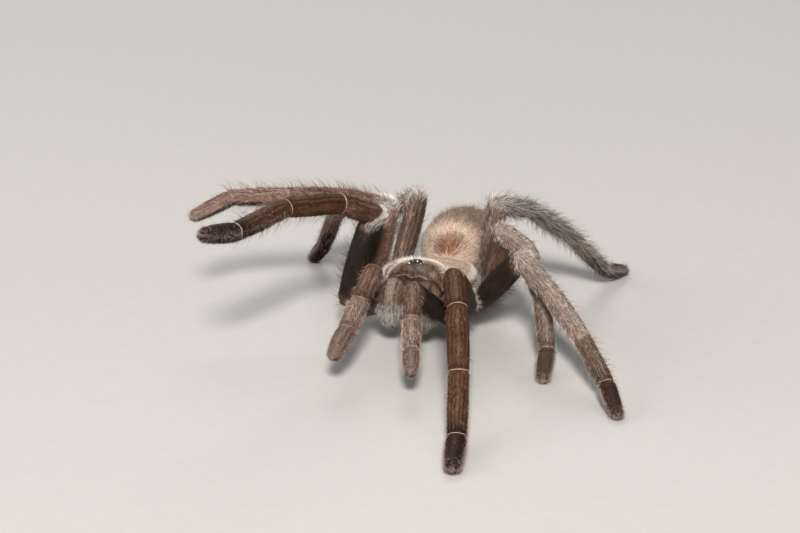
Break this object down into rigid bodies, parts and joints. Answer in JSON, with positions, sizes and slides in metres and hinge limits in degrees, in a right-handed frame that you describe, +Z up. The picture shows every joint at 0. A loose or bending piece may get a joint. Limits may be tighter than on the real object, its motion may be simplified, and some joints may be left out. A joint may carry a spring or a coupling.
{
  "type": "tarantula model",
  "caption": "Life-size still model of a brown hairy tarantula standing with its front legs raised to one side, in a short dense coat with long pale bristles.",
  "frame": {"origin": "bottom centre of the animal's bounding box, on the floor", "axes": "the animal faces -Y, its left side is +X and +Z is up"},
  "size_m": [0.077, 0.1046, 0.0294],
  "materials": {
    "leg_coat": "short dense brown hair with paler rings at the joints",
    "carapace_coat": "short flat silvery-brown hair",
    "abdomen_coat": "velvety tan hair",
    "underside_coat": "short dark brown hair",
    "chelicera_coat": "olive-brown hair turning blue-grey at the tip",
    "fang": "polished dark horn",
    "eye": "glossy black"
  },
  "bodies": {
    "root": {"abdomen": "abdomen_coat", "carapace": "carapace_coat", "chelicera_left": "chelicera_coat", "chelicera_right": "chelicera_coat", "eye_turret": "eye", "fang_left": "fang", "fang_right": "fang", "leg_1_left_femur": "leg_coat", "leg_1_left_metatarsus": "leg_coat", "leg_1_left_patella": "leg_coat", "leg_1_left_tarsus": "leg_coat", "leg_1_left_tibia": "leg_coat", "leg_1_right_femur": "leg_coat", "leg_1_right_metatarsus": "leg_coat", "leg_1_right_patella": "leg_coat", "leg_1_right_tarsus": "leg_coat", "leg_1_right_tibia": "leg_coat", "leg_2_left_femur": "leg_coat", "leg_2_left_metatarsus": "leg_coat", "leg_2_left_patella": "leg_coat", "leg_2_left_tarsus": "leg_coat", "leg_2_left_tibia": "leg_coat", "leg_2_right_femur": "leg_coat", "leg_2_right_metatarsus": "leg_coat", "leg_2_right_patella": "leg_coat", "leg_2_right_tarsus": "leg_coat", "leg_2_right_tibia": "leg_coat", "leg_3_left_femur": "leg_coat", "leg_3_left_metatarsus": "leg_coat", "leg_3_left_patella": "leg_coat", "leg_3_left_tarsus": "leg_coat", "leg_3_left_tibia": "leg_coat", "leg_3_right_femur": "leg_coat", "leg_3_right_metatarsus": "leg_coat", "leg_3_right_patella": "leg_coat", "leg_3_right_tarsus": "leg_coat", "leg_3_right_tibia": "leg_coat", "leg_4_left_femur": "leg_coat", "leg_4_left_metatarsus": "leg_coat", "leg_4_left_patella": "leg_coat", "leg_4_left_tarsus": "leg_coat", "leg_4_left_tibia": "leg_coat", "leg_4_right_femur": "leg_coat", "leg_4_right_metatarsus": "leg_coat", "leg_4_right_patella": "leg_coat", "leg_4_right_tarsus": "leg_coat", "leg_4_right_tibia": "leg_coat", "palp_left_femur": "leg_coat", "palp_left_patella": "leg_coat", "palp_left_tarsus": "leg_coat", "palp_left_tibia": "leg_coat", "palp_right_femur": "leg_coat", "palp_right_patella": "leg_coat", "palp_right_tarsus": "leg_coat", "palp_right_tibia": "leg_coat", "spinneret_left": "abdomen_coat", "spinneret_right": "abdomen_coat", "underside": "underside_coat"}
  },
  "joints": []
}
